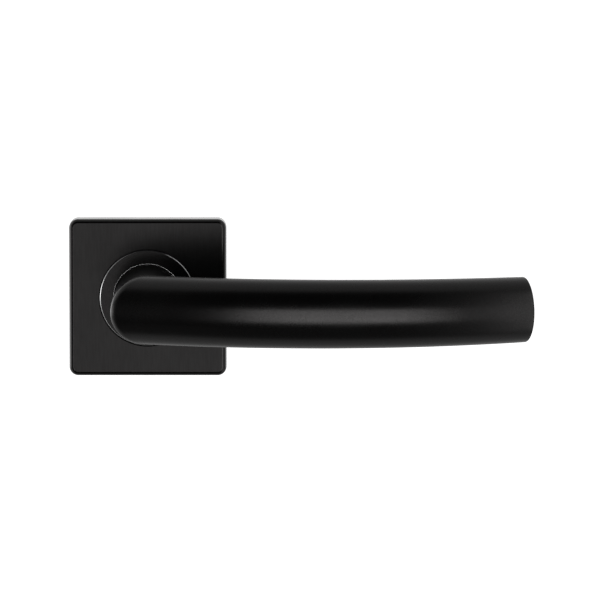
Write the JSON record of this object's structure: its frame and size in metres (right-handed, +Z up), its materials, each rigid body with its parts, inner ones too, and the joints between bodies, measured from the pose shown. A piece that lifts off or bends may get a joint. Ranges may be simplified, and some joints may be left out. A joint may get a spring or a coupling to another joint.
{
  "type": "door lever handle on square rose",
  "caption": "Round-bar door lever with a mitred elbow, bowed outwards and sprung, on a square rose with a turning ring, spindle and through fixings.",
  "frame": {"origin": "on the spindle's axis, in the plane of the door's face that the rose stands on", "axes": "+X along the lever from the spindle to the tip, +Y into the door, +Z up"},
  "size_m": [0.1521, 0.1139, 0.052],
  "materials": {
    "lever": "satin black coat over a steel tube",
    "neck_core": "as-cast zinc alloy",
    "grub_screw": "blackened steel",
    "driver_plate": "plated steel",
    "thrust_washer": "natural nylon",
    "circlip": "phosphated spring steel",
    "spindle": "zinc plated square bar",
    "rose_cover": "satin black coat, fine vertical brushing",
    "guide_ring": "satin black coat",
    "base_plate": "die-cast zinc alloy",
    "spring_housing": "moulded acetal",
    "base_bush": "natural nylon",
    "return_spring": "bright spring wire",
    "stop_pin_1": "ground steel pin",
    "fixing_bolt_1": "zinc plated steel",
    "sleeve_nut_1": "zinc plated steel",
    "stop_pin_2": "ground steel pin",
    "fixing_bolt_2": "zinc plated steel",
    "sleeve_nut_2": "zinc plated steel",
    "wood_screw_1": "zinc plated steel",
    "cover_clip_1": "spring steel strip",
    "wood_screw_2": "zinc plated steel",
    "cover_clip_2": "spring steel strip",
    "wood_screw_3": "zinc plated steel",
    "cover_clip_3": "spring steel strip",
    "wood_screw_4": "zinc plated steel",
    "cover_clip_4": "spring steel strip"
  },
  "bodies": {
    "rose": {"rose_cover": "rose_cover", "guide_ring": "guide_ring", "base_plate": "base_plate", "spring_housing": "spring_housing", "base_bush": "base_bush", "return_spring": "return_spring", "stop_pin_1": "stop_pin_1", "fixing_bolt_1": "fixing_bolt_1", "sleeve_nut_1": "sleeve_nut_1", "stop_pin_2": "stop_pin_2", "fixing_bolt_2": "fixing_bolt_2", "sleeve_nut_2": "sleeve_nut_2", "wood_screw_1": "wood_screw_1", "cover_clip_1": "cover_clip_1", "wood_screw_2": "wood_screw_2", "cover_clip_2": "cover_clip_2", "wood_screw_3": "wood_screw_3", "cover_clip_3": "cover_clip_3", "wood_screw_4": "wood_screw_4", "cover_clip_4": "cover_clip_4"},
    "lever": {"lever": "lever", "neck_core": "neck_core", "grub_screw": "grub_screw", "driver_plate": "driver_plate", "thrust_washer": "thrust_washer", "circlip": "circlip", "spindle": "spindle"}
  },
  "joints": [
    {"name": "lever_turn", "type": "hinge", "parent": "rose", "child": "lever", "pos_m": [0, 0, 0], "axis": [0, 1, 0], "range_deg": [0, 45], "stiffness_Nm_per_rad": 0.8, "springref_deg": -34.38, "deforming": ["return_spring"]}
  ]
}
